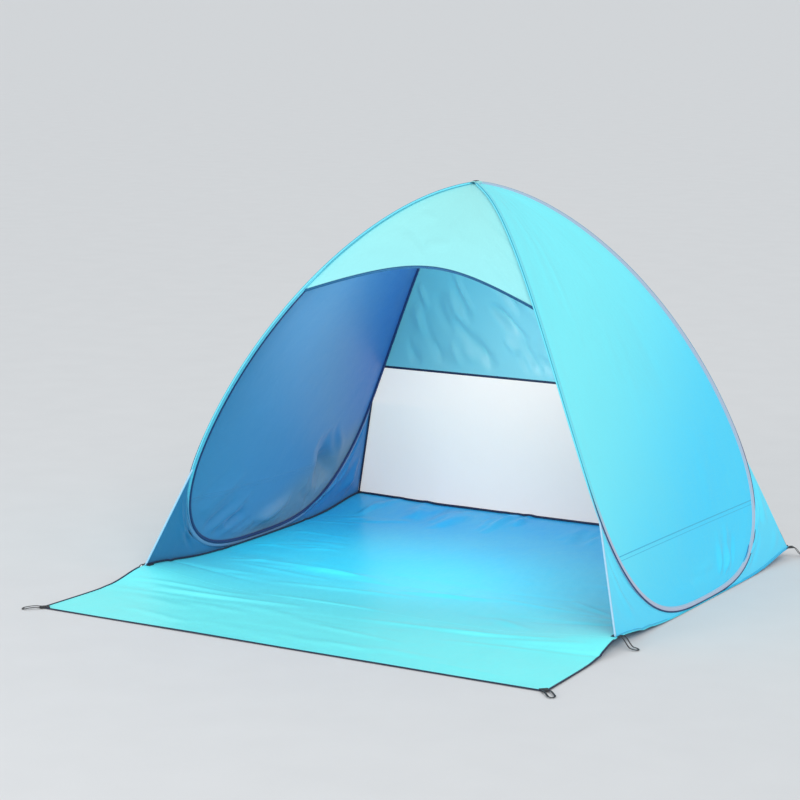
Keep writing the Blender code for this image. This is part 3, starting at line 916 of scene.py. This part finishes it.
def rear_folds(down, across, sign):
    """Slanting folds in the rear wall, closest together above the screen."""
    x = across * sign
    lines = scattered(62, 16, (0.05, 0.76), (0.75, 0.13), 34, 9, 0.44, 0.026, 0.0170)
    lines += scattered(64, 30, (0.0, 0.92), (0.9, 0.04), 38, 14, 0.15, 0.016, 0.0075)
    lines += scattered(65, 14, (-0.68, 0.80), (0.22, 0.13), 42, 6, 0.32, 0.022, 0.0080)
    lines += scattered(63, 10, (0.0, 0.50), (0.8, 0.3), 30, 25, 0.8, 0.06, 0.0060)
    fade = smooth((1 - across) / 0.08) * smooth((1 - down) / 0.03)
    sag = -0.010 * np.sin(math.pi * down) * np.cos(math.pi * across / 2)
    return sag + creases(x, down, lines) * fade


def make_canopy_half(label, sign):
    """Half of the brow, the doorway's tape and the rear wall."""
    grid, down, across = canopy_half("front", arch_height, sign, 72)
    brow = cloth_sheet(f"front_brow_cloth_{label}", grid, (0, -1, 0.5),
                       "aqua", "teal", brow_folds(down, across, sign))
    bend_with_side(brow, hoop_reach("front"))
    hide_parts("front_brow_panel")

    across = np.linspace(0.0, 1.0, 60)
    line = at_height("front", arch_height(across))
    line[:, 0] *= across
    line = mirrored(line, sign)
    side, up = frame_towards(line, (0.0, line[:, 1].mean() - 0.1, 3.0))
    tape = swept(f"door_arch_tape_{label}", line - side * 0.0024, side, up,
                 oval(0.0040, 0.0016), "arch")
    bend_with_side(tape, hoop_reach("front"))
    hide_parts("door_arch_binding")

    grid, down, across = canopy_half("rear", lambda v: np.full_like(v, Z_WINDOW_TOP + 0.002),
                                     sign, 80)
    upper = cloth_sheet(f"rear_upper_cloth_{label}", grid, (0, 1, 0.5),
                        "aqua", "teal", rear_folds(down, across, sign))
    bend_with_side(upper, hoop_reach("rear"))
    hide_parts("rear_upper_panel")
    make_window_half(label, sign)


def window_reach(sign):
    """The window's half width and depth at a height: to the hoop above the gussets, and to
    their free edge below."""
    edge = free_edge("rear", sign, np.linspace(0, 1, 60))[::-1]

    def measure(axis):
        return lambda z: np.where(z > GUSSET_TOP["rear"], at_height("rear", z)[..., axis],
                                  np.interp(z, edge[:, 2], edge[:, axis]))
    return measure(0), measure(1)


def make_window_half(label, sign):
    """Half of the white screen, the tape along its top and the cord at its foot."""
    reach, depth = window_reach(sign)
    down, across = share_grid(56, 84)
    bottom = ground_cloth(sign * across * CORNER_X, np.full_like(across, Y_REAR)) + GAP
    top = Z_WINDOW_TOP - 0.002
    z = top + (bottom - top) * down
    ease = down * down * (3 - 2 * down) * 0.35 + down * 0.65
    y_middle = depth(np.array(top)) + (Y_REAR - 0.002 - depth(np.array(top))) * ease
    y = y_middle + (depth(z) - y_middle) * across ** 3
    grid = np.stack([sign * across * reach(z), y, z], axis=-1)
    lines = scattered(71, 8, (0.0, 0.55), (0.8, 0.4), 85, 20, 0.5, 0.05, 0.0014)
    folds = -0.006 * np.sin(math.pi * down) * np.cos(math.pi * across / 2)
    folds = folds + creases(across * sign, down, lines) * smooth((1 - across) / 0.1)
    window = cloth_sheet(f"rear_window_cloth_{label}", grid, (0, 1, 0.2),
                         "white", "white_in", folds)
    bend_with_side(window, reach)
    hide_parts("rear_window_panel")

    share = np.linspace(0, 1, 50)
    z = np.full_like(share, Z_WINDOW_TOP)
    line = np.column_stack([sign * share * reach(z), depth(z), z])
    side, up = frame_towards(line, (0.0, line[0, 1] + 0.3, 3.0))
    tape = swept(f"window_top_tape_{label}", line, side, up, oval(0.0042, 0.0020),
                 "navy")
    bend_with_side(tape, reach)
    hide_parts("window_top_binding")

    x = sign * share * CORNER_X
    z = ground_cloth(x, np.full_like(x, Y_REAR)) + 0.0040
    line = np.column_stack([x, np.full_like(x, Y_REAR - 0.0030), z])
    side, up = frame_towards(line, (0.0, Y_REAR, 3.0))
    tape = swept(f"rear_piping_cord_{label}", line, side, up, oval(0.0042, 0.0032),
                 "navy")
    bend_with_side(tape, constant_reach(CORNER_X))
    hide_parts("rear_floor_piping")


# ------ floor and apron

def make_floor_half(label, sign):
    """Half of the floor inside the tent."""
    rows = int((Y_REAR - Y_FRONT) / GROUND_GRID_Y)
    cols = int(FLOOR_HALF / GROUND_GRID_X)
    x, y = np.meshgrid(sign * np.linspace(0, FLOOR_HALF, cols), np.linspace(Y_FRONT, Y_REAR, rows))
    grid = np.stack([x, y, ground_cloth(x, y)], axis=-1)
    floor = cloth_sheet(f"floor_cloth_{label}", grid, (0, 0, 1),
                        "floor", "under")
    bend_with_side(floor, constant_reach(FLOOR_HALF))
    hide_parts("floor_sheet")


def make_porch():
    """The apron in front of the doorway, and the tape on its three free edges."""
    rows = int((Y_FRONT - Y_PORCH) / GROUND_GRID_Y)
    cols = int(2 * FLOOR_HALF / GROUND_GRID_X)
    y = np.linspace(Y_FRONT - 0.0004, Y_PORCH, rows)[:, None] * np.ones((1, cols))
    spread = FLOOR_HALF + (PORCH_HALF - FLOOR_HALF) * (Y_FRONT - y) / (Y_FRONT - Y_PORCH)
    x = np.linspace(-1, 1, cols)[None, :] * spread
    grid = np.stack([x, y, ground_cloth(x, y)], axis=-1)
    porch = cloth_sheet("porch_cloth", grid, (0, 0, 1), "floor", "under")
    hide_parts("porch_sheet")
    loop = np.vstack([grid[2:, 0], grid[-1, 1:-1], grid[2:, -1][::-1]])
    loop = spaced(loop, 260)
    side, up = frame_towards(loop, (0.0, Y_FRONT, 0.0))
    edging = swept("porch_edge_tape", loop - side * 0.0006 + (0, 0, 0.0007), side, up,
                   oval(0.0034, 0.0015), "navy")
    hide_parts("porch_edge_binding")
    for piece in (porch, edging):
        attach(piece, "porch")
        gather_with_fold(piece)


# ------ peg loops

def make_peg_loop(label, sign, place):
    """A folded webbing strap with a stitched tab on the cloth's corner."""
    low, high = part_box(f"{label}_{place}_peg_loop")
    along = unit(np.array([float(sign), PEG_LOOP_SLANT[place], 0.0]))
    across = np.array([-along[1], along[0], 0.0])
    centre = (np.array(low) + np.array(high)) / 2
    inner = centre - along * PEG_LOOP_LONG / 2
    inner[2] = 0.0
    cloth_z = float(ground_cloth(np.array(inner[0] * 0.985), np.array(inner[1] * 0.985)))
    wide = PEG_LOOP_HALF_WIDE
    reach = PEG_LOOP_LONG - wide - STRAP_HALF_WIDE
    flat = [(-0.004, -wide), (reach * 0.5, -wide), (reach, -wide)]
    flat += [(reach + wide * math.sin(a), -wide * math.cos(a))
             for a in np.linspace(0.2, math.pi - 0.2, 11)]
    flat += [(reach, wide), (reach * 0.5, wide), (-0.004, wide)]
    line = spaced([inner + along * a + across * b for a, b in flat], 60)
    out = (line - inner) @ along / PEG_LOOP_LONG
    from_cloth = (cloth_z + GAP) * smooth(np.clip(1 - out * 1.6, 0, 1))
    line[:, 2] = 0.0016 + from_cloth + 0.0035 * np.sin(math.pi * out.clip(0, 1))
    tangent = unit(np.gradient(line, axis=0))
    side = unit(np.cross(tangent, (0.0, 0.0, 1.0)))
    up = np.cross(side, tangent)
    up *= np.sign(up[:, 2:])
    band = oval(STRAP_HALF_WIDE, 0.00085, 10)
    loop = swept(f"{label}_{place}_strap", line, side, up, band, "webbing")
    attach(loop, f"{label}_{place}_loop")
    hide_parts(f"{label}_{place}_peg_loop")

    parent = "porch" if place == "porch" else f"{label}_side"
    back = inner - along * TAB_LONG
    steps = np.linspace(0, 1, 9)
    path = back + (inner + along * 0.001 - back) * steps[:, None]
    path[:, 2] = ground_cloth(path[:, 0] * 0.999, path[:, 1]) + 0.0016
    side = np.broadcast_to(across, path.shape)
    up = np.broadcast_to((0.0, 0.0, 1.0), path.shape)
    outline = ((-1, -0.0007), (1, -0.0007), (1.02, 0.0003), (0.96, 0.0009), (-0.96, 0.0009),
               (-1.02, 0.0003))
    shape = [(s * TAB_HALF_WIDE, t) for s, t in outline]
    tab = swept(f"{label}_{place}_tab", path, side, up, shape, "webbing")
    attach(tab, parent)
    box = [(0.10, -0.8), (0.90, -0.8), (0.90, 0.8), (0.10, 0.8), (0.10, -0.8), (0.90, 0.8)]
    line = []
    for a, b in box:
        point = back + (inner - back) * a + across * TAB_HALF_WIDE * b
        point[2] = np.interp(a, steps, path[:, 2]) + 0.0010
        line.append(point)
    line = spaced(line, 90)
    side, up = frame_towards(line, (0.0, 0.0, 6.0))
    stitch = swept(f"{label}_{place}_stitching", line, side, up,
                   oval(0.0005, 0.0005, 6), "thread")
    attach(stitch, parent)
    if place == "porch":
        for piece in (loop, tab, stitch):
            gather_with_fold(piece)


def make_apex_tack():
    """The small patch where the two hoops meet, and the bar tack sewn over it."""
    low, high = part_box("apex_tack_patch")
    middle = (np.array(low) + np.array(high)) / 2
    half_x, half_y = (high.x - low.x) / 2, (high.y - low.y) / 2
    line = np.linspace(-1, 1, 13)
    u, v = np.meshgrid(line, line)
    z = middle[2] - 0.0006 - 0.0045 * u ** 2 - 0.001 * v ** 2
    grid = np.stack([middle[0] + half_x * u, middle[1] + half_y * v, z], axis=-1)
    patch = cloth_sheet("apex_patch_cloth", grid, (0, 0, 1), "aqua", "teal")
    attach(patch, "canopy")
    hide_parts("apex_tack_patch")
    turns = np.linspace(0, 1, 60)
    stitches = 9
    x = middle[0] + 0.35 * half_x * np.sin(2 * math.pi * stitches * turns)
    y = middle[1] + 0.55 * half_y * (2 * turns - 1)
    line = np.column_stack([x, y, np.full_like(x, middle[2] - 0.0004)])
    side, up = frame_towards(line, (0.0, middle[1], 9.0))
    knot = swept("apex_bar_tack", line, side, up, oval(0.0008, 0.0007, 6), "navy")
    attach(knot, "canopy")


# ------ stage, light, camera

def aim(obj, place, target):
    """Put a camera or light in its place, turned to its target."""
    obj.location = place
    obj.rotation_mode = "QUATERNION"
    obj.rotation_quaternion = (Vector(target) - Vector(place)).to_track_quat("-Z", "Y")


def make_camera():
    camera = new_object("camera", bpy.data.cameras.new("camera"))
    camera.data.lens = CAMERA_LENS
    camera.data.sensor_width = CAMERA_SENSOR
    camera.data.clip_start = 0.1
    camera.data.clip_end = 500.0
    flat = math.cos(CAMERA_HEIGHT)
    back = Vector((math.sin(CAMERA_AZIMUTH) * flat, -math.cos(CAMERA_AZIMUTH) * flat,
                   math.sin(CAMERA_HEIGHT)))
    aim(camera, CAMERA_TARGET + back * CAMERA_AWAY, CAMERA_TARGET)
    bpy.context.scene.camera = camera


def make_light(name, kind, place, target, power, colour):
    light = bpy.data.lights.new(name, kind)
    light.energy = power
    light.color = colour
    made = new_object(name, light)
    made.visible_camera = False
    aim(made, place, target)
    return light


def make_stage():
    """A wide pale floor and soft studio light."""
    ring = []
    for k in range(STAGE_CORNERS):
        angle = 2 * math.pi * k / STAGE_CORNERS
        ring.append((STAGE_RADIUS * math.cos(angle), STAGE_RADIUS * math.sin(angle), STAGE_LEVEL))
    mesh = bpy.data.meshes.new("studio_floor")
    mesh.from_pydata(ring, [], [tuple(range(STAGE_CORNERS))])
    material, tree, shader = new_material("studio_floor_paint")
    place = node(tree, "ShaderNodeTexCoord").outputs["Object"]
    grain = stretched_noise(tree, place, (6.0, 6.0, 6.0), 4.0)
    set_inputs(tree, shader, {
        "Base Color": mix_colour(tree, grain, (0.70, 0.71, 0.72), (0.74, 0.75, 0.76)),
        "Roughness": 0.9, "Specular IOR Level": 0.05})
    mesh.materials.append(material)
    new_object("studio_floor", mesh)

    world = bpy.data.worlds.new("studio")
    world.use_nodes = True
    set_inputs(world.node_tree, world.node_tree.nodes["Background"],
               {"Color": (0.92, 0.96, 1.0, 1.0), "Strength": 0.66})
    bpy.context.scene.world = world
    bpy.context.scene.view_settings.view_transform = "Standard"

    key = make_light("key", "SUN", (4.2, -4.6, 5.2), (0.1, 0.0, 0.4), 1.45, (1.0, 0.98, 0.95))
    key.angle = math.radians(40)
    fill = make_light("fill", "AREA", (-2.2, -6.0, 1.4), (0.0, 0.3, 0.4), 120, (1.0, 0.99, 0.98))
    fill.shape = "DISK"
    fill.size = 3.0
    glow = make_light("glow", "AREA", (0.0, -0.16, 0.66), (-0.12, 0.80, 0.42), 3.7,
                      (1.0, 0.95, 0.90))
    glow.shape = "DISK"
    glow.size = 0.20


# ------ build


make_camera()
make_stage()
for side_label, side_sign in SIGN.items():
    make_side_cloth(side_label, side_sign)
    make_sleeve(side_label, side_sign)
    make_gusset(side_label, side_sign, "front")
    make_gusset(side_label, side_sign, "rear")
    make_floor_piping(side_label, side_sign)
    make_canopy_half(side_label, side_sign)
    make_floor_half(side_label, side_sign)
    for corner in ("porch", "front", "rear"):
        make_peg_loop(side_label, side_sign, corner)
make_porch()
make_apex_tack()
